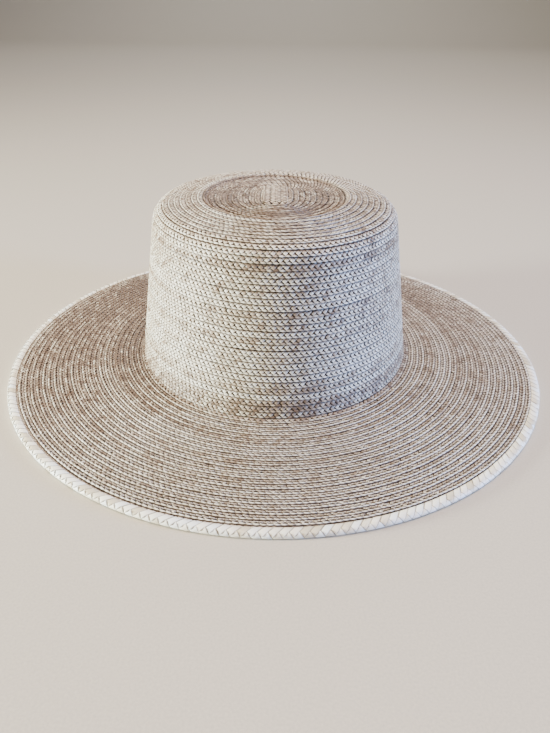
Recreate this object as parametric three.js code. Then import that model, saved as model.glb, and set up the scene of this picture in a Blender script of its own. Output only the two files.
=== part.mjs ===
// Palm leaf hat: a long plaited braid sewn round and round into an oval crown and a wide flat brim,
// with a plaited palm binding folded over the brim's edge. Millimetres, +Z up, X across the hat,
// the front towards -Y. The hat stands on its binding at Z = 0, centred on the origin.
import * as THREE from 'three';

// Driving dimensions
const headHalfWidth = 87.8;
const headExtraLength = 14;
const brimWidth = 88.2;
const brimExtraLength = 8.6;
const crownHeight = 110.5;
const wallThickness = 2;
const seatGap = 0.3;

// Crown
const sideTaper = 11.8;
const shoulderRadius = 11;
const shoulderCentreHeight = 96.7;
const shoulderExtraLength = 10.3;
const recessHalfWidth = 45.4;
const recessExtraLength = 6.9;
const recessRimWidth = 4;
const recessDepth = 1.6;
const tipPlateauHalfWidth = 22;
const tipPlateauDrop = 1;
const crownFootHeight = 11;

// Brim and its binding
const creaseHeight = 9.4;
const creaseWidth = 3.4;
const bindingWidth = 6.4;
const bindingThickness = 0.6;
const bindingCornerRadius = 1.4;
const bindingCornerSteps = 2;
const tongueThickness = 1.4;
const tongueWidth = 4.2;

// The braid: each row shows a strip as wide as its pitch and overlaps the next row out by a raised lip
const rowPitch = 3.6;
const rowLip = 0.35;
const startLength = 39;
const startWidth = 15;
const startThickness = 1;
const startCornerRadius = 3;

// Round stretches
const ovalSegments = 36;
const insideStep = 8;
const underSteps = 4;

// How much longer than wide each oval ring is, on each side of the middle
const ovalTable = [
  { halfWidth: 0, extraLength: 0 },
  { halfWidth: recessHalfWidth, extraLength: recessExtraLength },
  { halfWidth: headHalfWidth - sideTaper, extraLength: shoulderExtraLength },
  { halfWidth: headHalfWidth, extraLength: headExtraLength },
  { halfWidth: headHalfWidth + brimWidth - bindingWidth, extraLength: brimExtraLength },
];

function extraLengthAt(halfWidth) {
  for (let row = 1; row < ovalTable.length; row += 1) {
    const inner = ovalTable[row - 1];
    const outer = ovalTable[row];
    if (halfWidth <= outer.halfWidth) {
      return THREE.MathUtils.mapLinear(
        halfWidth, inner.halfWidth, outer.halfWidth, inner.extraLength, outer.extraLength);
    }
  }
  return brimExtraLength;
}

// Turns an outline, in half width and height and given clockwise, into an oval ring or shell
function ovalSolid(outline) {
  const geometry = new THREE.LatheGeometry(outline.slice().reverse(), ovalSegments);
  geometry.rotateX(Math.PI / 2);
  const position = geometry.getAttribute('position');
  for (let index = 0; index < position.count; index += 1) {
    const halfWidth = Math.hypot(position.getX(index), position.getY(index));
    if (halfWidth > 0) {
      const stretch = 1 + extraLengthAt(halfWidth) / halfWidth;
      position.setY(index, position.getY(index) * stretch);
    }
  }
  geometry.computeVertexNormals();
  return geometry;
}

// A point beside a path, measured outwards from the hat's outer face
function besidePath(path, share, outwards) {
  const point = path.getPointAt(share);
  const tangent = path.getTangentAt(share);
  return new THREE.Vector2(point.x - tangent.y * outwards, point.y + tangent.x * outwards);
}

// The outer face of the rows of braid along a path: each row rises to a lip, then steps down
function rowsAlong(path) {
  const rowCount = Math.round(path.getLength() / rowPitch);
  const points = [];
  for (let row = 0; row < rowCount; row += 1) {
    points.push(besidePath(path, row / rowCount, 0));
    points.push(besidePath(path, (row + 1) / rowCount, rowLip));
  }
  points.push(besidePath(path, 1, 0));
  return points;
}

// The plain inner face behind a path, from its end back to its start
function insideOf(path) {
  const stepCount = Math.ceil(path.getLength() / insideStep);
  const points = [];
  for (let step = stepCount; step >= 0; step -= 1) {
    points.push(besidePath(path, step / stepCount, -wallThickness));
  }
  return points;
}

function makeCrown() {
  const recessFloor = crownHeight - recessDepth;
  const plateauHeight = crownHeight - tipPlateauDrop;
  const shoulderHalfWidth = headHalfWidth - sideTaper;
  const tip = [
    new THREE.Vector2(0, plateauHeight),
    new THREE.Vector2(tipPlateauHalfWidth, plateauHeight),
    new THREE.Vector2(recessHalfWidth - recessRimWidth, recessFloor),
  ];
  const shoulderCentre = shoulderHalfWidth - shoulderRadius;
  const face = new THREE.Path();
  face.moveTo(recessHalfWidth, crownHeight);
  face.lineTo(shoulderCentre, shoulderCentreHeight + shoulderRadius);
  face.absarc(shoulderCentre, shoulderCentreHeight, shoulderRadius, Math.PI / 2, 0, true);
  face.lineTo(headHalfWidth, crownFootHeight);
  const tipInside = tip.map((point) => new THREE.Vector2(point.x, point.y - wallThickness)).reverse();
  return ovalSolid([...tip, ...rowsAlong(face), ...insideOf(face), ...tipInside]);
}

function makeBrim() {
  const crease = new THREE.Vector2(headHalfWidth + creaseWidth, creaseHeight);
  const edgeHalfWidth = headHalfWidth + brimWidth;
  const rowsEnd = edgeHalfWidth - bindingWidth - seatGap;
  const tongueEnd = rowsEnd + seatGap + tongueWidth;
  const tongueBottom = bindingThickness + seatGap;
  const tongueTop = tongueBottom + tongueThickness;
  const innerHalfWidth = headHalfWidth - wallThickness;
  const footTop = crownFootHeight - seatGap;
  const surface = new THREE.Path();
  surface.moveTo(headHalfWidth + rowLip, footTop);
  surface.quadraticCurveTo(headHalfWidth + rowLip, creaseHeight, crease.x, crease.y);
  surface.lineTo(rowsEnd, tongueTop + rowLip);
  const outline = [
    new THREE.Vector2(innerHalfWidth, footTop),
    ...rowsAlong(surface),
    new THREE.Vector2(rowsEnd, tongueTop),
    new THREE.Vector2(tongueEnd, tongueTop),
    new THREE.Vector2(tongueEnd, tongueBottom),
  ];
  const underInner = new THREE.Vector2(innerHalfWidth, creaseHeight - wallThickness);
  const underOuter = new THREE.Vector2(rowsEnd, tongueBottom);
  for (let step = 0; step <= underSteps; step += 1) {
    outline.push(underOuter.clone().lerp(underInner, step / underSteps));
  }
  outline.push(outline[0].clone());
  return ovalSolid(outline);
}

// A strip folded round the brim's edge: flat below, rounded outside, with a slot for the edge
function makeEdgeBinding() {
  const outer = headHalfWidth + brimWidth;
  const inner = outer - bindingWidth;
  const slotEnd = inner + tongueWidth + seatGap;
  const thickness = 2 * (bindingThickness + seatGap) + tongueThickness;
  const corner = bindingCornerRadius;
  const outline = [
    new THREE.Vector2(inner, 0),
    new THREE.Vector2(inner, bindingThickness),
    new THREE.Vector2(slotEnd, bindingThickness),
    new THREE.Vector2(slotEnd, thickness - bindingThickness),
    new THREE.Vector2(inner, thickness - bindingThickness),
    new THREE.Vector2(inner, thickness),
  ];
  const edge = new THREE.Path();
  edge.absarc(outer - corner, thickness - corner, corner, Math.PI / 2, 0, true);
  edge.absarc(outer - corner, corner, corner, 0, -Math.PI / 2, true);
  outline.push(...edge.getPoints(bindingCornerSteps), outline[0].clone());
  return ovalSolid(outline);
}

// The first run of the braid, doubled back beside itself, lies flat on the middle of the crown
function makeBraidStart() {
  const halfWidth = startWidth / 2;
  const halfLength = startLength / 2;
  const corner = startCornerRadius;
  const shape = new THREE.Shape();
  shape.moveTo(-halfWidth + corner, -halfLength);
  shape.lineTo(halfWidth - corner, -halfLength);
  shape.quadraticCurveTo(halfWidth, -halfLength, halfWidth, -halfLength + corner);
  shape.lineTo(halfWidth, halfLength - corner);
  shape.quadraticCurveTo(halfWidth, halfLength, halfWidth - corner, halfLength);
  shape.lineTo(-halfWidth + corner, halfLength);
  shape.quadraticCurveTo(-halfWidth, halfLength, -halfWidth, halfLength - corner);
  shape.lineTo(-halfWidth, -halfLength + corner);
  shape.quadraticCurveTo(-halfWidth, -halfLength, -halfWidth + corner, -halfLength);
  return new THREE.ExtrudeGeometry(shape, {
    depth: startThickness, bevelEnabled: false, curveSegments: 4,
  });
}

function addPiece(group, name, geometry, colour, roughness) {
  const material = new THREE.MeshStandardMaterial({ color: colour, roughness, metalness: 0 });
  const mesh = new THREE.Mesh(geometry, material);
  mesh.name = name;
  group.add(mesh);
  return mesh;
}

const hat = new THREE.Group();
addPiece(hat, 'crown', makeCrown(), '#c9b79f', 0.6);
addPiece(hat, 'brim', makeBrim(), '#bda88f', 0.65);
addPiece(hat, 'edge_binding', makeEdgeBinding(), '#dcd6c8', 0.5);
const braidStart = addPiece(hat, 'braid_start', makeBraidStart(), '#c6bca8', 0.6);
braidStart.position.z = crownHeight - tipPlateauDrop + seatGap;

export default hat;
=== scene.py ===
import math

import bmesh
import bpy
import numpy as np
from bpy.props import FloatProperty, FloatVectorProperty, IntProperty, PointerProperty
from mathutils import Matrix, Vector


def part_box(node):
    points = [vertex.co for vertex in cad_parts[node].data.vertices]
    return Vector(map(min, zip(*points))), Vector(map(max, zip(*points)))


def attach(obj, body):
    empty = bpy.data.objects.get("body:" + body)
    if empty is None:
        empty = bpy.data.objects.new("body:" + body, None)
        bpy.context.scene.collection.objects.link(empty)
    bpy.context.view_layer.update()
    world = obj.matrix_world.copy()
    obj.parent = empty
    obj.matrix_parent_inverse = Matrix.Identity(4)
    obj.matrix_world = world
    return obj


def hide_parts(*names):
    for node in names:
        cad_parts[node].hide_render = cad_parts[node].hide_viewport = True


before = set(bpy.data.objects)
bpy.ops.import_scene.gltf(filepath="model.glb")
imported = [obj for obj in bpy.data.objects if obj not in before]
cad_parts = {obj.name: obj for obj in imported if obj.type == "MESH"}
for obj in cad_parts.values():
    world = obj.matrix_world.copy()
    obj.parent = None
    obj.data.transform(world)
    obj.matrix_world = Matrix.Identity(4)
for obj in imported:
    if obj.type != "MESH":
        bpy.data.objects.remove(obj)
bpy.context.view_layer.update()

bl_info = {
    "name": "Palm leaf hat",
    "version": (1, 0, 0),
    "blender": (4, 5, 0),
    "location": "View3D > Sidebar > Palm Hat",
    "description": "Lays a plaited palm braid row by row over the hat's solids and binds the brim's edge",
    "category": "Object",
}

# The hat's form, in metres, beside the sizes that come from the frame's boxes
MM = 0.001
ROW_LIP = 0.35 * MM
WALL = 2.0 * MM
SIDE_TAPER = 11.8 * MM
SHOULDER_RADIUS = 11 * MM
SHOULDER_DROP = 13.8 * MM
RECESS_HALF_WIDTH = 45.4 * MM
RECESS_RIM = 4 * MM
RECESS_DEPTH = 1.6 * MM
PLATEAU_HALF_WIDTH = 22 * MM
PLATEAU_DROP = 1.0 * MM
FOOT_HEIGHT = 11 * MM
CREASE_HEIGHT = 9.4 * MM
CREASE_WIDTH = 3.4 * MM
BINDING_WIDTH = 5.2 * MM
BINDING_CORNER = 1.4 * MM
BRIM_EDGE_HEIGHT = 2.65 * MM
TUCKED_WIDTH = 4.3 * MM
TUCKED_HEIGHT = 2.1 * MM
EDGE_WALL = 1.7 * MM

# How much longer than wide each oval ring is, on each side of the middle
OVAL_HALF_WIDTH = np.array([0, 7.5, 45.4, 76, 87.8, 169.6, 180]) * MM
OVAL_EXTRA_LENGTH = np.array([12, 12, 6.9, 10.3, 14, 8.6, 8.6]) * MM
# Near the middle the rings square up to lie along the braid's straight start: how far out, and how much
SQUARE_REACH = 22 * MM
SQUARE_POWER = 1.4

# The photograph's view: the camera's place and lens, for a picture 550 wide and 733 high
PICTURE_HEIGHT = 733
SENSOR_MM = 36
FOCAL_PIXELS = 650
CAMERA_PLACE = Vector((0.8, -404.7, 218.4)) * MM
CAMERA_PITCH = math.radians(29.8)
CAMERA_ROLL = math.radians(0.63)

# The stage: a floor that bends up into a backdrop, in metres
FLOOR_FRONT = -3.0
FLOOR_HALF_WIDTH = 4.0
BACKDROP_PLACE = 3.2
BACKDROP_BEND = 1.0
BACKDROP_TOP = 3.5

# A strand's visible stretch: its length, how far it rises across the row in half a cell, and the share
# of its place that it fills, which leaves a thin dark seam beside the next strand
STRAND_LENGTH = 2.95 * MM
STRAND_RISE = 1.75 * MM
STRAND_FILL = 0.87

# The braid's straight start stops short of its solid's ends, and its ends turn down, with painted shade
START_END_GAP = 0.6 * MM
START_END_TURN = 0.3 * MM
START_END_DROP = 1.3 * MM
START_END_BEND = 1.6 * MM
START_END_SHADE = 0.35
# It sinks a little into its solid's top, and inside the hat it shows below the wall
START_SINK = 0.12 * MM
START_INSIDE_DROP = 0.5 * MM
# Its two runs: how much one is raised and the other lowered, how many strands each shows side by side,
# and how far these stray in place and in tone
START_RUN_LIFT = 0.03 * MM
START_STRANDS = 4
START_STRAY = 0.08 * MM
START_TONE_STRAY = 0.08

# Painted shade in the groove beside a row's folded edge: its middle and its reach, in shares of the row pitch
GROOVE_PLACE = 0.42
GROOVE_REACH = 0.15
# On the crown the groove gets less painted shade than on the brim
CROWN_GROOVE = 0.15
GROOVE_BLEND = 4 * MM
# How strongly it shows, and how patchy it is
GROOVE_STRENGTH = 1.8
GROOVE_CONTRAST = 3.4
GROOVE_OFFSET = -0.9
# Painted shade in the crease between crown and brim
CREASE_SHADE = 0.1
CREASE_REACH = 1.3 * MM

# A leaf's tone runs from 0, the palest, to 1, the brownest: the usual tone, how much it differs from strip
# to strip, and how much from batch to batch, with the length of braid that a batch lasts for in metres
LEAF_TONE = 0.38
STRIP_SPREAD_OF_TONE = 0.17
BATCH_SPREAD_OF_TONE = 0.14
BATCH_LENGTH = 0.35
# How much riper the brim's leaf is than the crown's
BRIM_TONE = 0.26
CREASE_BLEND = 1.5 * MM
# How much browner the brim's back is painted, with painted shade and warm reflection, and how much paler its
# front, with painted light
BACK_TONE = 0.46
# How much browner its left is painted than its middle, with painted shade and warm reflection, and how much
# paler its right, with painted light
LEFT_TONE = 0.16
# Painted shade at the crown's foot: how much browner it is, how far above the crease most, and how far that
# reaches
FOOT_TONE = 0.35
FOOT_RISE = 4 * MM
FOOT_REACH = 6 * MM
# How much paler the brim's last rows are, and how far in that reaches
EDGE_TONE = -0.2
EDGE_REACH = 22 * MM
# How ripe the leaf of the braid's straight start is
START_TONE = 0.66
# How much riper the leaf in the crown's shallow recess is than the rest of the crown's
RECESS_TONE = 0.4
RECESS_BLEND = 1.2 * MM

# How loosely the plait lies: each strand's usual stray along the row, its lean, twist, roll and lift, and
# the shift of its tone. A fold strays and twists less
STRAY_ALONG = 0.06 * MM
STRAY_LEAN = 0.07
STRAY_TWIST = 0.07
STRAY_ROLL = 0.06
STRAY_LIFT = 0.04 * MM
STRAY_TONE = 0.1
FOLD_STRAY = 0.4
FOLD_TWIST = 0.3
# The slow waves of a row, sideways along the braid and up and down round the hat
SIDE_WAVES = (0.05, 0.11, 0.23, 0.9)
SIDE_WAVE_SIZE = 0.25 * MM
HEIGHT_WAVES = (1, 2.3, 3.1)
HEIGHT_WAVE_SIZE = 0.05 * MM
# Every strand takes its fibres from its own place on a leaf map this wide
LEAF_MAP_REACH = 40 * MM

# The walls under the strands lie this far inside the real ones
CORE_INSET = 0.15 * MM
BINDING_CORE_TOP = -0.36 * MM
BINDING_CORE_BOTTOM = -0.8 * MM
MERGE_DISTANCE = 0.001 * MM
# The middle of a drawn-out wall is stretched by no more than this
LONGEST_STRETCH = 1.6

# Rows run flat under the binding: how far before it they start to, within what length, and how deep they lie
TUCK_START = 0.2 * MM
TUCK_RUN = 0.5 * MM
TUCK_DEPTH = 0.2 * MM

# The stitches of the binding
STITCH_PITCH = 4.6 * MM
STITCH_LENGTH = 1.9 * MM
STITCH_WIDTH = 0.45 * MM
STITCH_INSET = 0.75 * MM
STITCH_LIFT = 0.12 * MM
STITCH_UNDER_LIFT = -0.14 * MM
STITCH_ARCH = [(-1, -0.25 * MM, 0), (-0.5, 0.08 * MM, 0), (0.5, 0.08 * MM, 0), (1, -0.25 * MM, 0)]

# The loose fibres: how many, and in millimetres how long they are and how far their tips stand off
FIBRE_COUNT = 260
FIBRE_LENGTHS = (1.5, 5)
FIBRE_RISES = (0.1, 1.1)
# Where their roots lie: the shares of the braid's length, beside its free edge and over the face
FIBRE_STRETCH = (0.03, 1)
FIBRE_INSET = 0.6 * MM
FIBRE_ROOT = 0.9 * MM
FIBRE_WIDTH = 0.16 * MM
FIBRE_TAPER = 0.8
FIBRE_SLEW = 0.2
FIBRE_TONE = 0.1

# How much the patches and the fibres change a leaf's tone, how fast painted shade browns and then darkens it
# where it dives under, how its gloss varies, and how high its fibres stand
PATCH_SHARE = 1.0
FIBRE_SHARE = 0.5
BROWNING = 2.0
DARKENING = 2.2
DARKENING_START = -0.8
GLOSS_SPREAD = 0.3
FIBRE_RELIEF = 0.06 * MM


# Small helpers

def linear(hex_colour):
    """An sRGB hex colour as a linear colour with alpha."""
    channels = [int(hex_colour[i:i + 2], 16) / 255 for i in (1, 3, 5)]
    return [c / 12.92 if c <= 0.04045 else ((c + 0.055) / 1.055) ** 2.4 for c in channels] + [1.0]


def add_node(tree, kind, inputs=None, **settings):
    """Adds a node with its settings. Each input is a value, or the output that is linked to it."""
    made = tree.nodes.new(kind)
    for name, value in settings.items():
        setattr(made, name, value)
    for name, value in (inputs or {}).items():
        if isinstance(value, bpy.types.NodeSocket):
            tree.links.new(value, made.inputs[name])
        else:
            made.inputs[name].default_value = value
    return made


# The hat's outer face as a run of half widths and heights, from the middle of the tip to the brim's edge

class Run:
    """A line across the hat's face, evenly spaced, with the direction that points out of the face."""

    STEP = 0.25 * MM

    def __init__(self, corners, soften):
        corners = np.array(corners)
        place = np.concatenate([[0], np.cumsum(np.hypot(*np.diff(corners, axis=0).T))])
        even = np.arange(0, place[-1], self.STEP)
        line = np.stack([np.interp(even, place, corners[:, axis]) for axis in (0, 1)], axis=1)
        reach = max(1, int(soften / self.STEP / 2))
        head = 2 * line[0] - line[reach:0:-1]
        tail = 2 * line[-1] - line[-2:-reach - 2:-1]
        padded = np.concatenate([head, line, tail])
        kernel = np.hanning(2 * reach + 3)[1:-1]
        kernel /= kernel.sum()
        self.line = np.stack([np.convolve(padded[:, axis], kernel, "valid") for axis in (0, 1)], axis=1)
        steps = np.gradient(self.line, axis=0)
        lengths = np.hypot(steps[:, 0], steps[:, 1])
        self.along = np.concatenate([[0], np.cumsum(np.hypot(*np.diff(self.line, axis=0).T))])
        self.out = np.stack([-steps[:, 1], steps[:, 0]], axis=1) / lengths[:, None]
        self.length = self.along[-1]

    def at(self, along):
        """Half width, height, and the outward direction's two parts, at places along the run."""
        columns = (self.line[:, 0], self.line[:, 1], self.out[:, 0], self.out[:, 1])
        return [np.interp(along, self.along, column) for column in columns]

    def place_of(self, half_width, height):
        """How far along the run a corner of it lies."""
        return self.along[np.argmin(np.hypot(self.line[:, 0] - half_width, self.line[:, 1] - height))]


def arc(centre_x, centre_y, radius, start, end, steps=8):
    """Corners along a round stretch, with its angles in degrees."""
    angles = np.radians(np.linspace(start, end, steps + 1))
    return [(centre_x + radius * math.cos(a), centre_y + radius * math.sin(a)) for a in angles]


def on_run(run, turn, along, out):
    """Points at an angle round the hat, a distance along a run and a height off it.
    The rings are ovals, and near the middle they square up to lie along the braid's straight start."""
    half_width, height, out_across, out_up = run.at(along)
    half_length = half_width + np.interp(half_width, OVAL_HALF_WIDTH, OVAL_EXTRA_LENGTH)
    power = 2 / (2 + SQUARE_POWER * np.exp(-(half_width / SQUARE_REACH) ** 2))
    c, s = np.cos(turn), np.sin(turn)
    x = half_width * np.sign(c) * np.abs(c) ** power
    y = half_length * np.sign(s) * np.abs(s) ** power
    towards_x = np.sign(c) * np.abs(c) ** (2 - power) * half_length
    towards_y = np.sign(s) * np.abs(s) ** (2 - power) * half_width
    # The middle has no direction of its own, so a trace is added before the division
    size = np.hypot(towards_x, towards_y) + 1e-12
    across = out * out_across / size
    return np.stack([x + across * towards_x, y + across * towards_y, height + out * out_up], axis=-1)


CROWN_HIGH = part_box("crown")[1]
BINDING_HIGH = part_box("edge_binding")[1]
START_LOW, START_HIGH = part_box("braid_start")
HEAD_HALF_WIDTH = CROWN_HIGH.x - ROW_LIP
CROWN_TOP = CROWN_HIGH.z - ROW_LIP
SHOULDER_HALF_WIDTH = HEAD_HALF_WIDTH - SIDE_TAPER
SHOULDER_HEIGHT = CROWN_TOP - SHOULDER_DROP
BRIM_HALF_WIDTH = BINDING_HIGH.x
BINDING_HEIGHT = BINDING_HIGH.z
BINDING_INSIDE = BRIM_HALF_WIDTH - BINDING_WIDTH

HAT = Run(
    [
        (0, CROWN_TOP - PLATEAU_DROP),
        (PLATEAU_HALF_WIDTH, CROWN_TOP - PLATEAU_DROP),
        (RECESS_HALF_WIDTH - RECESS_RIM, CROWN_TOP - RECESS_DEPTH),
        (RECESS_HALF_WIDTH, CROWN_TOP),
        *arc(SHOULDER_HALF_WIDTH - SHOULDER_RADIUS, SHOULDER_HEIGHT, SHOULDER_RADIUS, 90, 0),
        (HEAD_HALF_WIDTH, FOOT_HEIGHT),
        (HEAD_HALF_WIDTH + CREASE_WIDTH, CREASE_HEIGHT),
        (BINDING_INSIDE, BRIM_EDGE_HEIGHT),
        (BINDING_INSIDE + TUCKED_WIDTH, TUCKED_HEIGHT),
    ],
    soften=3 * MM,
)
TIP_END = HAT.place_of(SHOULDER_HALF_WIDTH, SHOULDER_HEIGHT)
SIDE_END = HAT.place_of(HEAD_HALF_WIDTH, FOOT_HEIGHT)
BINDING_START = HAT.place_of(BINDING_INSIDE, BRIM_EDGE_HEIGHT)
RECESS_END = HAT.place_of(RECESS_HALF_WIDTH, CROWN_TOP)

BINDING = Run(
    [
        (BINDING_INSIDE, BINDING_HEIGHT),
        *arc(BRIM_HALF_WIDTH - BINDING_CORNER, BINDING_HEIGHT - BINDING_CORNER, BINDING_CORNER, 90, 0),
        *arc(BRIM_HALF_WIDTH - BINDING_CORNER, BINDING_CORNER, BINDING_CORNER, 0, -90),
        (BINDING_INSIDE, 0),
    ],
    soften=0.5 * MM,
)


# Sizes and colours that a user would change

class BraidSizes(bpy.types.PropertyGroup):
    """The plaited braid that the crown and brim are sewn from."""

    cell: FloatProperty(
        name="Cell length", description="Length of braid from one edge fold to the next",
        default=3.3 * MM, min=1 * MM, subtype="DISTANCE", unit="LENGTH")
    pitch: FloatProperty(
        name="Row pitch", description="Width of each row that the next one in leaves showing",
        default=3.6 * MM, min=1 * MM, subtype="DISTANCE", unit="LENGTH")
    lip: FloatProperty(
        name="Row step", description="Height of a row's free edge over the row that it lies on",
        default=0.66 * MM, min=0, subtype="DISTANCE", unit="LENGTH")
    strands: IntProperty(name="Strands", description="Strands in the plait", default=7, min=3)
    leaf: FloatProperty(
        name="Leaf length", description="Length of braid that one strip of leaf lasts for",
        default=230 * MM, min=10 * MM, subtype="DISTANCE", unit="LENGTH")


class BindingSizes(bpy.types.PropertyGroup):
    """The wider plait that is folded over the brim's edge."""

    strip_pitch: FloatProperty(
        name="Strip pitch", description="Distance between neighbouring strips along the edge",
        default=4.9 * MM, min=1 * MM, subtype="DISTANCE", unit="LENGTH")


def colour_property(name, description, hex_colour):
    """A colour picker that starts from an sRGB hex value."""
    return FloatVectorProperty(
        name=name, description=description, default=linear(hex_colour), size=4, subtype="COLOR", min=0, max=1)


class StrawColours(bpy.types.PropertyGroup):
    """The tones of dried palm leaf."""

    pale: colour_property("Pale leaf", "The palest strips, nearly cream", "#faf5e9")
    straw: colour_property("Straw", "Most of the leaf", "#e3d9c6")
    tan: colour_property("Tan", "Riper, browner strips", "#ac9884")
    # Brown is also the first colour of the braid's painted shade, and the deepest of the binding's painted
    # shade
    brown: colour_property("Brown", "Veins and the darkest strips", "#6c5747")
    # The leaf between strands is painted dark as shade
    shadow: colour_property("Between strands", "The dark leaf seen in the pits of the plait", "#33271f")
    binding: colour_property("Binding", "The bleached leaf of the edge binding", "#f3f0e8")
    bleached: colour_property("Bleached binding", "The binding's whitest strips", "#f3f7f8")
    aged: colour_property("Aged binding", "The binding's yellowest strips", "#cdc2ac")
    # The gaps between the binding's strips are painted grey-brown as shade
    seam: colour_property("Binding seams", "The dusty gaps between the binding's strips", "#7f766a")
    thread: colour_property("Thread", "The sewing thread", "#ddd5c2")


GROUPS = {"palm_braid": BraidSizes, "palm_binding": BindingSizes, "palm_colours": StrawColours}


# Meshes

def cell_patch(bm, centre, angle, length, width, heights, sides, number):
    """Adds one visible stretch of strand: a small grid turned to the strand's direction, arched along it
    by heights, with edges turned down at its sides and ends. Each height comes with the shade there."""
    layers = bm.verts.layers.float
    columns, rows = len(heights) - 1, len(sides) - 1
    made = bmesh.ops.create_grid(bm, x_segments=columns, y_segments=rows, size=0.5)["verts"]
    turn = Matrix.Rotation(angle, 2)
    for vert in made:
        share_along, lift, dark = heights[round((vert.co.x + 0.5) * columns)]
        share_across, drop, rim = sides[round((vert.co.y + 0.5) * rows)]
        along, across = share_along * length / 2, share_across * width / 2
        vert[layers["grain_u"]] = along
        vert[layers["grain_v"]] = across
        vert[layers["shade"]] = max(dark, rim)
        vert[layers["cell"]] = number
        place = turn @ Vector((along, across))
        vert.co = Vector((centre[0] + place.x, centre[1] + place.y, lift + drop))
    return made


def new_unit():
    """An empty bmesh with the layers that every repeated piece of plait carries."""
    bm = bmesh.new()
    for name in ("grain_u", "grain_v", "shade", "cell"):
        bm.verts.layers.float.new(name)
    return bm


def unit_arrays(bm):
    """The repeated piece as arrays: points, quads and its layers. Frees the bmesh."""
    bm.verts.index_update()
    layers = bm.verts.layers.float
    unit = {
        "points": np.array([v.co for v in bm.verts]),
        "quads": np.array([[v.index for v in f.verts] for f in bm.faces]),
    }
    for name in ("grain_u", "grain_v", "shade", "cell"):
        unit[name] = np.array([v[layers[name]] for v in bm.verts])
    bm.free()
    return unit


# Along a strand: the share of its half length, the height and the shade there
STRAND_ARCH = [
    (-0.86, -0.28 * MM, 1.0),
    (-0.60, -0.03 * MM, 0.7),
    (-0.38, 0.12 * MM, 0.0),
    (0.6, 0.10 * MM, 0.0),
    (1, -0.16 * MM, 0.6),
]
SHORT_ARCH = [(-0.35, 0.06 * MM, 0.0), (0.5, 0.06 * MM, 0.0), (1, -0.16 * MM, 0.6)]
PLAIN_ARCH = [(-1, -0.16 * MM, 0.6), (0, 0.12 * MM, 0.0), (1, -0.16 * MM, 0.6)]
# Across a strand: the share of its half width, the height and the shade there
STRAND_SIDES = [(-1, -0.16 * MM, 1.0), (-0.74, 0, 0.0), (0.74, 0, 0.0), (1, -0.16 * MM, 1.0)]
PLAIN_SIDES = [(-1, -0.12 * MM, 0.44), (0, 0, 0.0), (1, -0.12 * MM, 0.44)]

# Inside the hat and under the brim the plait gets weaker painted shade, and lies flatter
INSIDE_SHADE = 0.5
INSIDE_LIFT = 0.6
# What lies close under the row above gets painted shade: how far from the row's hidden edge, and within what
# width
UNDER_ROW = 0.9 * MM
UNDER_ROW_BLEND = 0.45 * MM
# The patches of a braid's unit by number: the strand over its middle, the one from under, and the fold
LONG, SHORT, FOLD = 0, 1, 2

# The fold of a strand at the free edge, from under the edge to its tucked tip:
# across, height, share of the cell's length, sideways lean and shade
FOLD_OUTLINE = [
    (-0.16 * MM, -0.80 * MM, 0.52, 0.0, 0.9),
    (-0.06 * MM, 0.18 * MM, 0.52, 0.0, 0.0),
    (0.52 * MM, 0.18 * MM, 0.35, -0.21, 0.05),
    (1.12 * MM, -0.16 * MM, 0.16, -0.18, 0.6),
]
INSIDE_FOLD_OUTLINE = [FOLD_OUTLINE[0], FOLD_OUTLINE[1], FOLD_OUTLINE[3]]
# The sides of a fold draw back, lie lower and are browned by painted shade, which scallops the free edge
FOLD_DRAW_BACK = 0.2 * MM
FOLD_SIDE_DROP = 0.16 * MM
FOLD_SIDE_SHADE = 0.27


def strand_slant(braid):
    """The angle of the strands to the braid, and the width of what shows of each."""
    slant = math.atan2(STRAND_RISE, braid.cell / 2)
    return slant, braid.cell * math.sin(slant) * STRAND_FILL


def braid_unit(braid, plain):
    """One cell length of a row: a strand over the row's middle, one that comes from under the row above,
    and the fold where a strand turns back at the row's free edge. The free edge is at across 0."""
    half = braid.cell / 2
    slant, width = strand_slant(braid)
    bm = new_unit()
    if plain:
        shapes = (PLAIN_ARCH, PLAIN_ARCH[1:], PLAIN_SIDES, INSIDE_FOLD_OUTLINE)
    else:
        shapes = (STRAND_ARCH, SHORT_ARCH, STRAND_SIDES, FOLD_OUTLINE)
    long_arch, short_arch, sides, fold_outline = shapes
    cell_patch(bm, (0, STRAND_RISE), slant, STRAND_LENGTH, width, long_arch, sides, LONG)
    cell_patch(bm, (half, 2 * STRAND_RISE), -slant, STRAND_LENGTH, width, short_arch, sides, SHORT)
    fold_patch(bm, (-half, 0), braid.cell, fold_outline, FOLD)
    unit = unit_arrays(bm)
    tilt_row(unit, braid)
    # Inside, the painted shade is weaker
    if plain:
        unit["shade"] *= INSIDE_SHADE
    return unit


def fold_patch(bm, centre, length, outline, number):
    """Adds the fold at a row's free edge: a low triangle whose base rolls over the edge."""
    layers = bm.verts.layers.float
    rows = len(outline) - 1
    made = bmesh.ops.create_grid(bm, x_segments=2, y_segments=rows, size=0.5)["verts"]
    for vert in made:
        across, lift, share, lean, shade = outline[round((vert.co.y + 0.5) * rows)]
        side = round(vert.co.x * 2)
        along = (side * share + lean) * length
        vert[layers["grain_u"]] = along
        vert[layers["grain_v"]] = across
        vert[layers["shade"]] = max(shade, FOLD_SIDE_SHADE * abs(side))
        vert[layers["cell"]] = number
        across += FOLD_DRAW_BACK * abs(side)
        vert.co = Vector((centre[0] + along, centre[1] + across, lift - FOLD_SIDE_DROP * abs(side)))


def tilt_row(unit, braid):
    """Leans a row like a shingle: its free edge stands on the next row, and its other edge lies under."""
    across = unit["points"][:, 1]
    unit["points"][:, 2] += braid.lip * (1 - across / braid.pitch)
    # Painted shade on what lies close under the row above
    depth = np.clip((across - braid.pitch + UNDER_ROW) / UNDER_ROW_BLEND, 0, 1)
    unit["shade"] = np.maximum(unit["shade"], depth)


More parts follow.
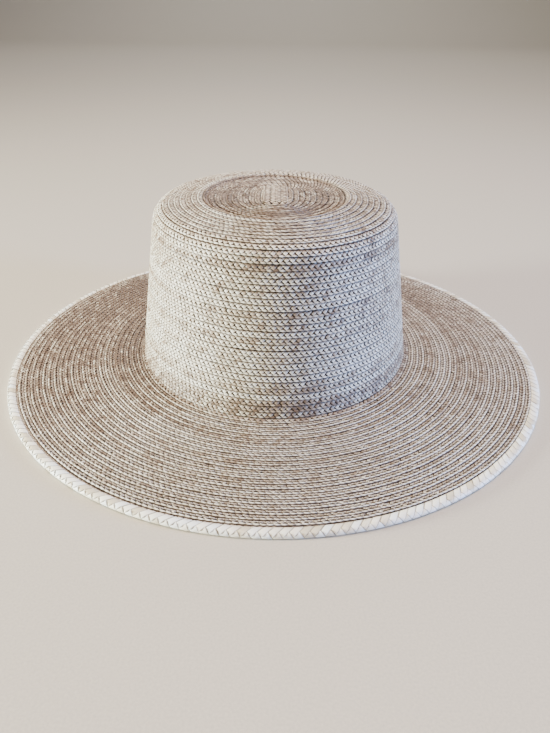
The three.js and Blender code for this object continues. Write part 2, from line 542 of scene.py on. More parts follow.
def mesh_object(name, points, quads, material, values, grain):
    """A smooth mesh from arrays, with its point values and its leaf UV map in millimetres."""
    mesh = bpy.data.meshes.new(name)
    mesh.vertices.add(len(points))
    mesh.vertices.foreach_set("co", points.astype(np.float32).ravel())
    mesh.loops.add(quads.size)
    mesh.loops.foreach_set("vertex_index", quads.astype(np.int32).ravel())
    mesh.polygons.add(len(quads))
    mesh.polygons.foreach_set("loop_start", np.arange(0, quads.size, 4, dtype=np.int32))
    mesh.update(calc_edges=True)
    mesh.validate()
    mesh.polygons.foreach_set("use_smooth", np.ones(len(quads), dtype=bool))
    for key, value in values.items():
        mesh.attributes.new(key, "FLOAT", "POINT").data.foreach_set("value", value.astype(np.float32))
    corners = grain[quads.ravel()] / MM
    mesh.uv_layers.new(name="leaf").data.foreach_set("uv", corners.astype(np.float32).ravel())
    made = bpy.data.objects.new(name, mesh)
    bpy.context.scene.collection.objects.link(made)
    mesh.materials.append(material)
    return made


def repeat_unit(unit, count):
    """The unit laid count times after each other: its quads, and for each point the number of its copy and
    of its patch there, and the three parts of its place in the unit."""
    size = len(unit["points"])
    quads = (unit["quads"][None] + size * np.arange(count)[:, None, None]).reshape(-1, 4)
    copies = np.repeat(np.arange(count), size)
    cell = np.tile(unit["cell"], count).astype(int)
    return quads, copies, cell, np.tile(unit["points"], (count, 1)).T


def leaf_places(unit, count, patches, copies, cell, rng):
    """Each point's place on the leaf map, where every patch of every copy lies somewhere else."""
    grain = np.stack([np.tile(unit[key], count) for key in ("grain_u", "grain_v")], axis=1)
    return grain + LEAF_MAP_REACH * rng.random((count, patches, 2))[copies, cell]


def wobble(place, seed, waves, size):
    """A smooth random wave along a row, made of a few sines."""
    rng = np.random.default_rng(seed)
    total = np.zeros_like(place)
    for wave in waves:
        total += np.sin(place * wave * rng.uniform(0.8, 1.2) + rng.uniform(0, 2 * math.pi))
    return total * size / len(waves)


class Spiral:
    """The braid's path: its free edge runs round and round the hat, one pitch further out each turn. The
    first turn lies beside the braid's straight start."""

    FIRST_EDGE = 7.2 * MM
    STEPS_A_TURN = 240

    def __init__(self, braid):
        self.pitch = braid.pitch
        turns = (HAT.length - self.FIRST_EDGE) / braid.pitch
        self.turn = np.linspace(0, 2 * math.pi * turns, int(turns * self.STEPS_A_TURN))
        path = on_run(HAT, self.turn, self.edge(self.turn), 0)
        self.length = np.concatenate([[0], np.cumsum(np.linalg.norm(np.diff(path, axis=0), axis=1))])

    def edge(self, turn):
        """How far along the run the free edge lies after turning so far."""
        return self.FIRST_EDGE + self.pitch * turn / (2 * math.pi)

    def turn_at(self, length):
        """The angle turned after a length of braid."""
        return np.interp(length, self.length, self.turn)

    def length_at_edge(self, edge):
        """The length of braid up to where its free edge is that far along the run."""
        turn = (edge - self.FIRST_EDGE) / self.pitch * 2 * math.pi
        return np.interp(turn, self.turn, self.length)


def leaf_tones(braid, strand, place, seed):
    """How brown each strand is at a place along the braid: every strip of leaf has its own tone, and
    longer stretches of braid were plaited from paler or riper leaf."""
    rng = np.random.default_rng(seed)
    leaves = int(place.max() / braid.leaf) + 3
    table = np.clip(rng.normal(LEAF_TONE, STRIP_SPREAD_OF_TONE, (braid.strands, leaves)), 0, 1)
    starts = rng.random(braid.strands)
    leaf = (place / braid.leaf + starts[strand]).astype(int)
    batch_places = np.arange(0, place.max() + 2, BATCH_LENGTH)
    batch = np.interp(place, batch_places, rng.normal(0, BATCH_SPREAD_OF_TONE, len(batch_places)))
    return table[strand, leaf] + batch


def riper_or_shaded_here(turn, place_out, edge):
    """How much browner than the crown's usual leaf the hat is at places: riper leaf on the brim and in its
    recess, paler leaf along the brim's edge, painted shade with a painted warm reflection at the brim's back
    and left, painted shade at the crown's foot, and painted light at the brim's front and right."""
    on_brim = 1 / (1 + np.exp((SIDE_END - place_out) / CREASE_BLEND))
    # Painted shade at the crown's foot
    at_foot = np.exp(-((place_out - SIDE_END + FOOT_RISE) / FOOT_REACH) ** 2)
    at_edge = np.clip(1 + (place_out - BINDING_START) / EDGE_REACH, 0, 1)
    in_recess = 1 / (1 + np.exp((edge - RECESS_END) / RECESS_BLEND))
    # Painted shade and warm reflection brown the brim's back and left, painted light pales its front and
    # right
    brim = (BRIM_TONE + BACK_TONE * np.sin(turn) - LEFT_TONE * np.cos(turn)) * on_brim
    return brim + FOOT_TONE * at_foot + EDGE_TONE * at_edge + RECESS_TONE * in_recess


def lay_rows(name, unit, braid, spiral, edges, material, side):
    """Lays the unit along the spiral between two edges of the run, on the outer face or, with side -1,
    on the inner one, where a row's free edge points back to the middle."""
    first, last = [int(spiral.length_at_edge(edge) / braid.cell) for edge in edges]
    count = last - first
    quads, copies, cell, (along, across, out) = repeat_unit(unit, count)
    rng = np.random.default_rng(first)
    loose = np.clip(rng.normal(0, 1, (count, 3, 4)), -2, 2)[copies, cell]
    number = copies + first
    middle = (number + 0.5) * braid.cell
    off_middle = across - braid.pitch / 2
    stray = STRAY_ALONG * loose[:, 0] + STRAY_LEAN * loose[:, 1] * off_middle
    stray = stray * np.where(cell == FOLD, FOLD_STRAY, 1)
    place = middle + along + stray
    turn = spiral.turn_at(place)
    edge = spiral.edge(turn) + wobble(place / braid.pitch, 5, SIDE_WAVES, SIDE_WAVE_SIZE)
    twist = STRAY_TWIST * loose[:, 2] * along + STRAY_ROLL * loose[:, 0] * off_middle
    twist = twist * np.where(cell == FOLD, FOLD_TWIST, 1)
    out = out + twist + STRAY_LIFT * loose[:, 1] + wobble(turn, 7, HEIGHT_WAVES, HEIGHT_WAVE_SIZE)
    place_out = np.clip(edge - across if side > 0 else edge - braid.pitch + across, 0, HAT.length)
    if side > 0:
        points = on_run(HAT, turn, place_out, tuck(place_out, out))
    else:
        points = on_run(HAT, turn, place_out, -wall_at(place_out) - tuck(place_out, INSIDE_LIFT * out))
    # The strand from under the row above is the next fold's, so it has that fold's leaf
    strand = (number + (cell == SHORT)) % braid.strands
    tones = leaf_tones(braid, strand, middle, 11 + side)
    # Random leaf tones, plus riper leaf and painted shade and light at places
    tones += STRAY_TONE * loose[:, 3] + riper_or_shaded_here(turn, place_out, edge)
    grain = leaf_places(unit, count, 3, copies, cell, rng)
    # Painted shade in the crease between crown and brim
    crease = CREASE_SHADE * np.exp(-((place_out - SIDE_END) / CREASE_REACH) ** 2)
    shade = np.clip(np.tile(unit["shade"], count) + crease, 0, 1)
    # How strongly the groove's painted shade shows: weaker on the crown
    groove = np.clip((place_out - SIDE_END) / GROOVE_BLEND, CROWN_GROOVE, 1)
    values = {"tone": tones, "shade": shade, "across": across / braid.pitch, "groove": groove}
    return mesh_object(name, points, quads, material, values, grain)


def bmesh_object(name, bm, material):
    """A smooth object from a bmesh, which it frees."""
    bmesh.ops.recalc_face_normals(bm, faces=bm.faces)
    mesh = bpy.data.meshes.new(name)
    bm.to_mesh(mesh)
    bm.free()
    mesh.polygons.foreach_set("use_smooth", np.ones(len(mesh.polygons), dtype=bool))
    made = bpy.data.objects.new(name, mesh)
    bpy.context.scene.collection.objects.link(made)
    mesh.materials.append(material)
    return made


def wall_core(name, run, edges, outside, inside, material, steps=96, spacing=2.5 * MM):
    """A plain closed wall under the strands, spun from a slice of the run and then drawn out to the oval."""
    places = np.linspace(*edges, max(2, int((edges[1] - edges[0]) / spacing)))
    outer = np.stack(on_slice(run, places, outside), axis=1)
    inner = np.stack(on_slice(run, places[::-1], inside), axis=1)
    bm = bmesh.new()
    corners = [bm.verts.new((max(x, 0), 0, z)) for x, z in np.concatenate([outer, inner])]
    rim = [bm.edges.new(pair) for pair in zip(corners, corners[1:] + corners[:1])]
    bmesh.ops.spin(bm, geom=corners + rim, axis=(0, 0, 1), cent=(0, 0, 0), dvec=(0, 0, 0),
                   angle=2 * math.pi, steps=steps, use_merge=True, use_duplicate=False)
    bmesh.ops.remove_doubles(bm, verts=bm.verts, dist=MERGE_DISTANCE)
    for vert in bm.verts:
        half_width = math.hypot(vert.co.x, vert.co.y)
        if half_width > 0:
            extra = np.interp(half_width, OVAL_HALF_WIDTH, OVAL_EXTRA_LENGTH)
            vert.co.y *= 1 + min(extra / half_width, LONGEST_STRETCH)
    return bmesh_object(name, bm, material)


def wall_at(along):
    """How thick the straw is at a place along the hat's run: thinner towards the brim's edge."""
    return np.interp(along, [SIDE_END, HAT.length], [WALL, EDGE_WALL])


def tuck(along, out):
    """Presses the rows flat where they run under the binding."""
    under = np.clip((along - BINDING_START + TUCK_START) / TUCK_RUN, 0, 1)
    return out * (1 - under) - TUCK_DEPTH * under


def on_slice(run, along, out):
    """Half widths and heights at places along a run and a height off it."""
    half_width, height, out_across, out_up = run.at(along)
    return half_width + out * out_across, height + out * out_up


def ribbon_patch(bm, strip, sizes, number):
    """Adds a strip of the binding: it runs across the fold at a slope. Its stations give how far round the
    section it has come, its height there, and how far the cut there follows the crossing strips."""
    layers = bm.verts.layers.float
    first, slope, stations = strip
    rows = len(stations) - 1
    half_width = sizes.strip_pitch / 2
    made = bmesh.ops.create_grid(bm, x_segments=len(STRAND_SIDES) - 1, y_segments=rows, size=0.5)["verts"]
    for vert in made:
        share, drop, rim = STRAND_SIDES[round((vert.co.x + 0.5) * (len(STRAND_SIDES) - 1))]
        section, lift, cut = stations[rows - round((vert.co.y + 0.5) * rows)]
        place = section * MM + cut * share * half_width / STRIP_SPREAD
        vert[layers["grain_u"]] = place
        vert[layers["grain_v"]] = share * half_width
        # Painted shade in the seams between strips and on a strip's buried ends
        seam = SEAM_SHADE if section < SEAM_END else 0.5 * SEAM_SHADE
        vert[layers["shade"]] = STRIP_END_SHADE if lift < STRIP_END_LIFT else seam * rim
        vert[layers["cell"]] = number
        along = first * sizes.strip_pitch + slope * place + share * half_width
        vert.co = Vector((along, -place, lift * MM + STRIP_SIDE_SHARE * drop))


# The strips of the binding on their way round the fold. Each has its start in shares of the strip pitch,
# its slope along the edge, and its stations: section and height in millimetres, and the cut. The first
# comes up beside the brim and ends on the slope of the second, which turns the edge; the others lie below
OUTWARD_SLOPE = -0.86
TURNING_SLOPE = 0.6
STRIP_SPREAD = TURNING_SLOPE - OUTWARD_SLOPE
# How much painted shade the seams between strips carry, up to where they turn under, and how much a strip's
# buried ends carry
SEAM_SHADE = 0.46
SEAM_END = 6.6
STRIP_END_SHADE = 0.8
STRIP_END_LIFT = -0.1
# The sides of a strip drop less than those of a strand
STRIP_SIDE_SHARE = 0.6
# How loosely the strips lie, and how their tone varies
STRIP_STRAY = 0.12 * MM
STRIP_LIFT_STRAY = 0.03 * MM
STRIP_TONE = 0.5
STRIP_TONE_STRAY = 0.34
BINDING_STRIPS = [
    (0, OUTWARD_SLOPE, [
        (0, -0.4, 0), (0.25, 0.06, 0), (1.8, 0.13, 0.4), (2.9, 0.14, 0.7), (3.8, 0.14, 1), (4.4, 0.12, 1),
        (4.75, 0.08, 1), (5.05, -0.12, 1)]),
    (-0.975, TURNING_SLOPE, [
        (4.4, -0.16, -1), (4.9, 0.08, -1), (5.5, 0.15, -0.7), (6.1, 0.15, -0.35), (6.7, 0.13, 0),
        (7.4, 0.06, 0), (8.0, -0.12, 0)]),
    (0, OUTWARD_SLOPE, [(7.3, -0.12, 0), (8.1, -0.06, 0), (9.3, -0.06, 0), (10.0, -0.23, 0)]),
    (0, TURNING_SLOPE, [(9.4, -0.24, 0), (10.2, -0.07, 0), (12.0, -0.08, 0), (12.25, -0.3, 0)]),
]


def lay_binding(name, sizes, material):
    """Wraps the plaited strips round the brim's edge, each kind once in every strip pitch."""
    bm = new_unit()
    for number, strip in enumerate(BINDING_STRIPS):
        ribbon_patch(bm, strip, sizes, number)
    unit = unit_arrays(bm)
    edge_turn, edge_length = edge_walk()
    count = int(edge_length[-1] / sizes.strip_pitch)
    quads, copies, cell, (along, down, out) = repeat_unit(unit, count)
    rng = np.random.default_rng(3)
    loose = np.clip(rng.normal(0, 1, (count, len(BINDING_STRIPS), 3)), -2, 2)[copies, cell]
    place = (copies * edge_length[-1] / count + along + STRIP_STRAY * loose[:, 0]) % edge_length[-1]
    turn = np.interp(place, edge_length, edge_turn)
    points = on_run(BINDING, turn, -down, out + STRIP_LIFT_STRAY * loose[:, 1])
    grain = leaf_places(unit, count, len(BINDING_STRIPS), copies, cell, rng)
    tones = STRIP_TONE + STRIP_TONE_STRAY * loose[:, 2]
    values = {"tone": tones, "shade": np.tile(unit["shade"], count)}
    return mesh_object(name, points, quads, material, values, grain)


def edge_walk():
    """Angles round the brim's edge, a quarter of a degree apart, and how far along the edge each lies."""
    turn = np.linspace(0, 2 * math.pi, 4 * 360 + 1)
    line = on_run(BINDING, turn, np.full_like(turn, BINDING.length / 2), 0)
    length = np.concatenate([[0], np.cumsum(np.linalg.norm(np.diff(line, axis=0), axis=1))])
    return turn, length


def lay_stitches(name, material):
    """Short stitches of thread that hold the binding's inner edge down, and the same underneath."""
    bm = new_unit()
    cell_patch(bm, (0, 0), 0, STITCH_LENGTH, STITCH_WIDTH, STITCH_ARCH, PLAIN_SIDES, 0)
    unit = unit_arrays(bm)
    edge_turn, edge_length = edge_walk()
    count = int(edge_length[-1] / STITCH_PITCH)
    quads, copies, _, (along, across, out) = repeat_unit(unit, 2 * count)
    section = np.where(copies < count, STITCH_INSET, BINDING.length - STITCH_INSET)
    lift = np.where(copies < count, STITCH_LIFT, STITCH_UNDER_LIFT)
    place = (copies % count + 0.5) * edge_length[-1] / count + along
    turn = np.interp(place, edge_length, edge_turn)
    points = on_run(BINDING, turn, section - across, out + lift)
    return mesh_object(name, points, quads, material, {}, np.zeros((len(points), 2)))


def lay_start(name, braid, material, base, up):
    """The braid's straight start: two runs side by side, free edges outwards, over the spiral's middle.
    Up is 1 on the outer face, and -1 where the same start shows inside the hat."""
    bm = new_unit()
    half = braid.cell / 2
    slant, width = strand_slant(braid)
    for number in range(START_STRANDS):
        place = (number % 2) * half
        across = (number + 1) * STRAND_RISE
        lean = slant if number % 2 == 0 else -slant
        cell_patch(bm, (place, across), lean, STRAND_LENGTH, width, STRAND_ARCH, STRAND_SIDES, number)
    fold_patch(bm, (-half, 0), braid.cell, FOLD_OUTLINE, START_STRANDS)
    unit = unit_arrays(bm)
    half_run = (START_HIGH.y - START_LOW.y) / 2 - START_END_GAP
    count = round(2 * half_run / braid.cell) + 1
    quads, copies, cell, (along, across, lift) = repeat_unit(unit, 2 * count)
    side = np.where(copies < count, 1, -1)
    shade = np.tile(unit["shade"], 2 * count)
    loose = np.random.default_rng(17).normal(0, 1, (2 * count, START_STRANDS + 1, 2))[copies, cell]
    cell_place = (copies % count - 0.5) * 2 * half_run / (count - 1) - half_run
    run_place = cell_place + along + START_STRAY * loose[:, 0]
    # Patches that lie wholly past an end are left out, and what reaches past it turns down
    quads = quads[abs(run_place[quads]).min(axis=1) < half_run]
    kept, order = np.unique(quads, return_inverse=True)
    run_place = np.clip(run_place, -half_run - START_END_TURN, half_run + START_END_TURN)
    past_bend = abs(run_place) - half_run + START_END_BEND
    end_drop = np.clip(past_bend / (START_END_BEND + START_END_TURN), 0, 1) ** 2
    crown_across = (START_HIGH.x - across) * side
    x, y = crown_across * up, run_place * side
    height = base + up * (lift + START_RUN_LIFT * side - START_END_DROP * end_drop)
    points = np.stack([x, y, height], axis=1)[kept]
    grain = leaf_places(unit, 2 * count, START_STRANDS + 1, copies, cell, np.random.default_rng(19))
    tones = START_TONE + START_TONE_STRAY * loose[:, 1]
    values = {"tone": tones[kept], "shade": np.maximum(shade, START_END_SHADE * end_drop)[kept]}
    return mesh_object(name, points, order.reshape(quads.shape), material, values, grain[kept])


def lay_fibres(name, spiral, material):
    """Thin fibres that have sprung from the free edges, each a tapered sliver that bends away."""
    bm = new_unit()
    for vert in bmesh.ops.create_grid(bm, x_segments=4, y_segments=1, size=0.5)["verts"]:
        share = vert.co.x + 0.5
        vert.co.y *= 1 - FIBRE_TAPER * share
        vert.co.z = share ** 2
    unit = unit_arrays(bm)
    quads, copies, _, (share, width, bend) = repeat_unit(unit, FIBRE_COUNT)
    rng = np.random.default_rng(23)
    reach = rng.uniform(*FIBRE_LENGTHS, FIBRE_COUNT)[copies] * MM
    rise = rng.uniform(*FIBRE_RISES, FIBRE_COUNT)[copies] * MM
    slew = rng.normal(0, FIBRE_SLEW, FIBRE_COUNT)[copies]
    start = rng.uniform(*FIBRE_STRETCH, FIBRE_COUNT)[copies] * spiral.length[-1]
    share = share + 0.5
    turn = spiral.turn_at(start + share * reach)
    edge = spiral.edge(turn) - FIBRE_INSET + slew * share * reach + width * FIBRE_WIDTH
    points = on_run(HAT, turn, np.clip(edge, 0, HAT.length), FIBRE_ROOT + bend * rise)
    values = {"tone": np.full(len(copies), FIBRE_TONE)}
    grain = np.stack([share * reach, width * FIBRE_WIDTH], axis=1)
    return mesh_object(name, points, quads, material, values, grain)


# Materials

def add_groove(tree, place, shade):
    """The painted shade of the groove that runs along a row between its free edge's folds and its strands,
    broken up along the row every 4 mm or so. The across value runs from 0 at the free edge to 1 at the next
    row."""
    across = add_node(tree, "ShaderNodeAttribute", attribute_name="across")
    off = add_node(tree, "ShaderNodeMath", {0: across.outputs["Fac"], 1: GROOVE_PLACE}, operation="SUBTRACT")
    away = add_node(tree, "ShaderNodeMath", {0: off.outputs[0]}, operation="ABSOLUTE")
    groove = add_node(tree, "ShaderNodeMath", {
        0: away.outputs[0], 1: -GROOVE_STRENGTH / GROOVE_REACH, 2: GROOVE_STRENGTH},
        operation="MULTIPLY_ADD", use_clamp=True)
    breaks = add_node(tree, "ShaderNodeTexNoise", {
        "Vector": place.outputs["Object"], "Scale": 260.0, "Detail": 2.0, "Roughness": 0.6})
    uneven = add_node(tree, "ShaderNodeMath", {
        0: breaks.outputs["Fac"], 1: GROOVE_CONTRAST, 2: GROOVE_OFFSET},
        operation="MULTIPLY_ADD", use_clamp=True)
    # How strongly the groove's painted shade shows at this place of the hat
    shadowed = add_node(tree, "ShaderNodeAttribute", attribute_name="groove")
    broken = add_node(tree, "ShaderNodeMath", {0: groove.outputs[0], 1: uneven.outputs[0]},
                      operation="MULTIPLY")
    valley = add_node(tree, "ShaderNodeMath", {0: broken.outputs[0], 1: shadowed.outputs["Fac"]},
                      operation="MULTIPLY")
    return add_node(tree, "ShaderNodeMath", {0: shade.outputs["Fac"], 1: valley.outputs[0]},
                    operation="MAXIMUM")


def leaf_material(name, ramp_colours, roughness, shade_colour, depth_colour, fibre_strength):
    """Dried palm leaf: split by hand into flat strips and plaited dry. It gives the eye a satin strip with
    fine lengthwise fibres, a tone that changes from strip to strip, and painted shade, brown and then dark,
    where strands dive under."""
    material = bpy.data.materials.new(name)
    material.use_nodes = True
    tree = material.node_tree
    tree.nodes.clear()
    tone = add_node(tree, "ShaderNodeAttribute", attribute_name="tone")
    shade = add_node(tree, "ShaderNodeAttribute", attribute_name="shade")
    leaf_map = add_node(tree, "ShaderNodeUVMap", uv_map="leaf")
    place = add_node(tree, "ShaderNodeTexCoord")
    # The map is in millimetres: fibres are about 0.2 mm apart and some 6 mm long
    fibre_map = add_node(tree, "ShaderNodeMapping", {
        "Vector": leaf_map.outputs["UV"], "Scale": (0.17, 4.5, 1)})
    fibres = add_node(tree, "ShaderNodeTexNoise", {
        "Vector": fibre_map.outputs["Vector"], "Scale": 1.0, "Detail": 3.0, "Roughness": 0.6})
    # Object coordinates are in metres: riper patches from some 25 mm down to 2 mm across
    patches = add_node(tree, "ShaderNodeTexNoise", {
        "Vector": place.outputs["Object"], "Scale": 40.0, "Detail": 4.0, "Roughness": 0.75})
    patch_shift = add_node(tree, "ShaderNodeMath", {
        0: patches.outputs["Fac"], 1: PATCH_SHARE, 2: -PATCH_SHARE / 2}, operation="MULTIPLY_ADD")
    fibre_shift = add_node(tree, "ShaderNodeMath", {
        0: fibres.outputs["Fac"], 1: FIBRE_SHARE, 2: -FIBRE_SHARE / 2}, operation="MULTIPLY_ADD")
    shifted = add_node(tree, "ShaderNodeMath", {0: tone.outputs["Fac"], 1: patch_shift.outputs[0]},
                       operation="ADD")
    summed = add_node(tree, "ShaderNodeMath", {0: shifted.outputs[0], 1: fibre_shift.outputs[0]},
                      operation="ADD", use_clamp=True)
    ramp = add_node(tree, "ShaderNodeValToRGB", {"Fac": summed.outputs[0]})
    stops = ramp.color_ramp.elements
    while len(stops) < len(ramp_colours):
        stops.new(0.5)
    for stop, (position, colour) in zip(stops, ramp_colours):
        stop.position = position
        stop.color = colour
    shaded = add_groove(tree, place, shade)
    # Painted shade browns the leaf and then darkens it
    browner = add_node(tree, "ShaderNodeMath", {0: shaded.outputs[0], 1: BROWNING},
                       operation="MULTIPLY", use_clamp=True)
    darker = add_node(tree, "ShaderNodeMath", {0: shaded.outputs[0], 1: DARKENING, 2: DARKENING_START},
                      operation="MULTIPLY_ADD", use_clamp=True)
    browned = add_node(tree, "ShaderNodeMix", {
        "Factor": browner.outputs[0], 6: ramp.outputs["Color"], 7: shade_colour}, data_type="RGBA")
    coloured = add_node(tree, "ShaderNodeMix", {
        "Factor": darker.outputs[0], 6: browned.outputs[2], 7: depth_colour}, data_type="RGBA")
    gloss = add_node(tree, "ShaderNodeMath", {
        0: fibres.outputs["Fac"], 1: GLOSS_SPREAD, 2: roughness - GLOSS_SPREAD / 2},
        operation="MULTIPLY_ADD", use_clamp=True)
    bump = add_node(tree, "ShaderNodeBump", {
        "Height": fibres.outputs["Fac"], "Distance": FIBRE_RELIEF, "Strength": fibre_strength})
    shader = add_node(tree, "ShaderNodeBsdfPrincipled", {
        "Base Color": coloured.outputs[2], "Roughness": gloss.outputs[0], "Normal": bump.outputs["Normal"],
        "IOR": 1.5})
    add_node(tree, "ShaderNodeOutputMaterial", {"Surface": shader.outputs["BSDF"]})
    return material


def made_once(name, make, *looks):
    """The material of that name, which is made when a piece first asks for it."""
    return bpy.data.materials.get(name) or make(name, *looks)


def braid_material():
    """The natural leaf of the braid, from cream to brown."""
    colours = bpy.context.scene.palm_colours
    ramp = [(0.0, colours.pale), (0.4, colours.straw), (0.75, colours.tan), (1.0, colours.brown)]
    return made_once("natural_palm_leaf", leaf_material, ramp, 0.44, colours.brown, colours.shadow, 0.7)


def binding_material():
    """The bleached leaf of the edge binding, from white to cream, with painted shade where strips meet."""
    colours = bpy.context.scene.palm_colours
    ramp = [(0.1, colours.bleached), (0.4, colours.binding), (0.6, colours.pale), (1.0, colours.aged)]
    return made_once("bleached_palm_leaf", leaf_material, ramp, 0.42, colours.seam, colours.brown, 0.4)


def plain_material(name, colour, roughness):
    """A matt surface with a faint grain of about a millimetre: for the leaf that shows only between strands,
    painted dark as shade, for cotton thread and for the floor."""
    material = bpy.data.materials.new(name)
    material.use_nodes = True
    tree = material.node_tree
    shader = tree.nodes["Principled BSDF"]
    place = add_node(tree, "ShaderNodeTexCoord")
    grain = add_node(tree, "ShaderNodeTexNoise", {"Vector": place.outputs["Object"], "Scale": 900.0})
    darker = [c * 0.7 for c in colour[:3]] + [1.0]
    mixed = add_node(tree, "ShaderNodeMix", {"Factor": grain.outputs["Fac"], 6: colour, 7: darker},
                     data_type="RGBA")
    tree.links.new(mixed.outputs[2], shader.inputs["Base Color"])
    shader.inputs["Roughness"].default_value = roughness
    return material


def core_material():
    """The leaf in the depth of the plait, painted dark brown as shade."""
    colour = list(bpy.context.scene.palm_colours.shadow)
    return made_once("palm_leaf_in_shadow", plain_material, colour, 0.9)


# From a piece to the part

def dress(piece, slot, *nodes):
    """Puts a finished piece in the part: it rides on the one body and stands for nodes. Its slot is not used.
    """
    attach(piece, "root")
    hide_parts(*nodes)


def lay_stretches(context, stretches, slot, node, side=1):
    """Lays stretches of the braid as pieces, each given by its name and its two edges on the run."""
    braid = context.scene.palm_braid
    spiral = Spiral(braid)
    unit = braid_unit(braid, plain=side < 0)
    leaf = braid_material()
    for name, *edges in stretches:
        dress(lay_rows(name, unit, braid, spiral, edges, leaf, side), slot, node)


# Operators, one for each group of pieces

class PALMHAT_OT_crown(bpy.types.Operator):
    """Lay the braid over the tip, the shoulder and the side of the crown"""

    bl_idname = "palm_hat.crown"
    bl_label = "Crown braid"

    def execute(self, context):
        tip = ("crown_tip_braid", Spiral.FIRST_EDGE, TIP_END)
        side = ("crown_side_braid", TIP_END, SIDE_END)
        lay_stretches(context, (tip, side), "palm_braid_crown", "crown")
        core = wall_core("crown_wall", HAT, (0, SIDE_END), -CORE_INSET, CORE_INSET - WALL, core_material())
        dress(core, "palm_braid_crown", "crown")
        return {"FINISHED"}


class PALMHAT_OT_inside(bpy.types.Operator):
    """Lay the braid's other face inside the crown and under the brim"""

    bl_idname = "palm_hat.inside"
    bl_label = "Inside braid"

    def execute(self, context):
        inside = ("crown_inside_braid", Spiral.FIRST_EDGE, SIDE_END)
        under = ("brim_under_braid", SIDE_END, HAT.length)
        lay_stretches(context, [inside], "palm_braid_crown", "crown", side=-1)
        lay_stretches(context, [under], "palm_braid_brim", "brim", side=-1)
        return {"FINISHED"}


class PALMHAT_OT_start(bpy.types.Operator):
    """Lay the braid's straight start in the middle of the tip"""

    bl_idname = "palm_hat.start"
    bl_label = "Braid start"

    def execute(self, context):
        braid = context.scene.palm_braid
        top = START_HIGH.z - START_SINK
        bottom = CROWN_TOP - PLATEAU_DROP - WALL - START_INSIDE_DROP
        outside = lay_start("braid_start_outside", braid, braid_material(), top, 1)
        inside = lay_start("braid_start_inside", braid, braid_material(), bottom, -1)
        for piece in (outside, inside):
            dress(piece, "palm_braid_start", "braid_start")
        return {"FINISHED"}


class PALMHAT_OT_binding(bpy.types.Operator):
    """Fold the plaited binding over the brim's edge and stitch it down"""

    bl_idname = "palm_hat.binding"
    bl_label = "Edge binding"

    def execute(self, context):
        strips = lay_binding("binding_strips", context.scene.palm_binding, binding_material())
        # The binding's core, which shows between its strips, is painted darker as shade
        shadow = plain_material("bleached_leaf_in_shadow", linear("#8f7f68"), 0.8)
        core = wall_core("binding_core", BINDING, (0, BINDING.length), BINDING_CORE_TOP, BINDING_CORE_BOTTOM,
                         shadow, spacing=0.6 * MM)
        thread = plain_material("cotton_thread", list(context.scene.palm_colours.thread), 0.8)
        stitches = lay_stitches("binding_stitches", thread)
        for piece in (strips, core, stitches):
            dress(piece, "palm_binding", "edge_binding")
        return {"FINISHED"}


class PALMHAT_OT_fibres(bpy.types.Operator):
    """Add the few loose fibres that stand off the braid"""

    bl_idname = "palm_hat.fibres"
    bl_label = "Loose fibres"

    def execute(self, context):
        fibres = lay_fibres("loose_fibres", Spiral(context.scene.palm_braid), braid_material())
        dress(fibres, "palm_braid_brim", "brim")
        return {"FINISHED"}


class PALMHAT_OT_brim(bpy.types.Operator):
    """Lay the braid over the brim, from the crease to the binding"""

    bl_idname = "palm_hat.brim"
    bl_label = "Brim braid"

    def execute(self, context):
        middle = (SIDE_END + HAT.length) / 2
        inner = ("brim_inner_braid", SIDE_END, middle)
        outer = ("brim_outer_braid", middle, HAT.length)
        lay_stretches(context, (inner, outer), "palm_braid_brim", "brim")
        core = wall_core("brim_wall", HAT, (SIDE_END, HAT.length), -CORE_INSET, CORE_INSET - EDGE_WALL,
                         core_material())
        dress(core, "palm_braid_brim", "brim")
        return {"FINISHED"}


# The stage

class PALMHAT_OT_stage(bpy.types.Operator):
    """Set the floor, the lights and the camera"""

    bl_idname = "palm_hat.stage"
    bl_label = "Floor, lights and camera"

    def execute(self, context):
        make_floor()
        make_lights(context)
        make_camera(context)
        return {"FINISHED"}


def make_floor():
    """A pale floor that curves up into a backdrop far behind."""
    bm = bmesh.new()
    bend = arc(BACKDROP_PLACE, BACKDROP_BEND, BACKDROP_BEND, -90, 0, 12)
    profile = [(FLOOR_FRONT, 0), *bend, (BACKDROP_PLACE + BACKDROP_BEND, BACKDROP_TOP)]
    corners = [bm.verts.new((-FLOOR_HALF_WIDTH, y, z)) for y, z in profile]
    lines = [bm.edges.new(pair) for pair in zip(corners, corners[1:])]
    grown = bmesh.ops.extrude_edge_only(bm, edges=lines)["geom"]
    moved = [part for part in grown if isinstance(part, bmesh.types.BMVert)]
    bmesh.ops.translate(bm, verts=moved, vec=(2 * FLOOR_HALF_WIDTH, 0, 0))
    floor = bmesh_object("studio_floor", bm, plain_material("pale_floor", linear("#c8bfb1"), 0.55))


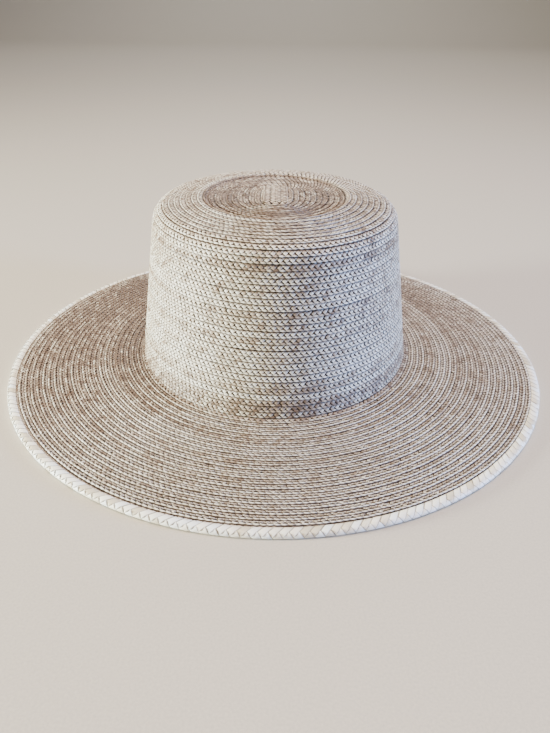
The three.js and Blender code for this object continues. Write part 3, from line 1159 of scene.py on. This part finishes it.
def make_lights(context):
    """Low lamps like windows on both sides, bluer on the right, a warm one overhead, and a backdrop's own.
    Each has its place in metres, its width, its power in watts and its colour."""
    lamps = [
        ("left_window", (-1.30, -0.32, 0.20), 0.35, 92, "#f8fff0"),
        ("right_window", (1.35, -0.34, 0.26), 0.35, 56, "#a0c2ff"),
        ("overhead", (0.1, -0.1, 1.6), 1.0, 45, "#ffe9d4"),
        ("backdrop_light", (0.0, 3.0, 2.8), 2.5, 90, "#ffffff"),
    ]
    target = Vector((0, 0, 0.05))
    for name, place, size, power, hex_colour in lamps:
        lamp = bpy.data.lights.new(name, "AREA")
        lamp.shape = "DISK"
        lamp.size = size
        lamp.energy = power
        lamp.color = linear(hex_colour)[:3]
        made = bpy.data.objects.new(name, lamp)
        made.location = place
        made.rotation_euler = (target - Vector(place)).to_track_quat("-Z", "Y").to_euler()
        context.scene.collection.objects.link(made)
    world = bpy.data.worlds.new("studio_air")
    world.use_nodes = True
    tree = world.node_tree
    # The air lights the hat with a dim warm glow, and is pale where a camera looks past the floor
    glow = [0.09 * c for c in linear("#f3d0a6")[:3]] + [1.0]
    path = add_node(tree, "ShaderNodeLightPath")
    air = add_node(tree, "ShaderNodeMix", {
        "Factor": path.outputs["Is Camera Ray"], 6: glow, 7: linear("#c6beb3")}, data_type="RGBA")
    tree.links.new(air.outputs[2], tree.nodes["Background"].inputs["Color"])
    context.scene.world = world


def make_camera(context):
    """The photograph's camera: close in front, looking down on the hat."""
    data = bpy.data.cameras.new("photo_view")
    data.sensor_width = SENSOR_MM
    data.lens = FOCAL_PIXELS / PICTURE_HEIGHT * SENSOR_MM
    data.clip_start = 0.01
    camera = bpy.data.objects.new("photo_view", data)
    turned = Matrix.Rotation(math.pi / 2 - CAMERA_PITCH, 3, "X")
    rolled = turned @ Matrix.Rotation(CAMERA_ROLL, 3, "Z")
    camera.matrix_world = Matrix.Translation(CAMERA_PLACE) @ rolled.to_4x4()
    context.scene.collection.objects.link(camera)
    context.scene.camera = camera


# The sidebar and the registration

class PALMHAT_PT_panel(bpy.types.Panel):
    """Lists the hat's pieces, sizes and colours"""

    bl_label = "Palm leaf hat"
    bl_idname = "PALMHAT_PT_panel"
    bl_space_type = "VIEW_3D"
    bl_region_type = "UI"
    bl_category = "Palm Hat"

    def draw(self, context):
        for group in GROUPS:
            settings = getattr(context.scene, group)
            box = self.layout.box()
            for name in settings.__annotations__:
                box.prop(settings, name)
        for operator in OPERATORS:
            self.layout.operator(operator.bl_idname)


OPERATORS = (
    PALMHAT_OT_crown, PALMHAT_OT_brim, PALMHAT_OT_inside, PALMHAT_OT_start, PALMHAT_OT_binding,
    PALMHAT_OT_fibres, PALMHAT_OT_stage)
CLASSES = (*GROUPS.values(), *OPERATORS, PALMHAT_PT_panel)


def register():
    for cls in CLASSES:
        bpy.utils.register_class(cls)
    for name, cls in GROUPS.items():
        setattr(bpy.types.Scene, name, PointerProperty(type=cls))


def unregister():
    for name in GROUPS:
        delattr(bpy.types.Scene, name)
    for cls in reversed(CLASSES):
        bpy.utils.unregister_class(cls)


def main():
    register()
    bpy.ops.palm_hat.crown()
    bpy.ops.palm_hat.brim()
    bpy.ops.palm_hat.inside()
    bpy.ops.palm_hat.start()
    bpy.ops.palm_hat.binding()
    bpy.ops.palm_hat.fibres()
    bpy.ops.palm_hat.stage()


if __name__ == "__main__":
    main()
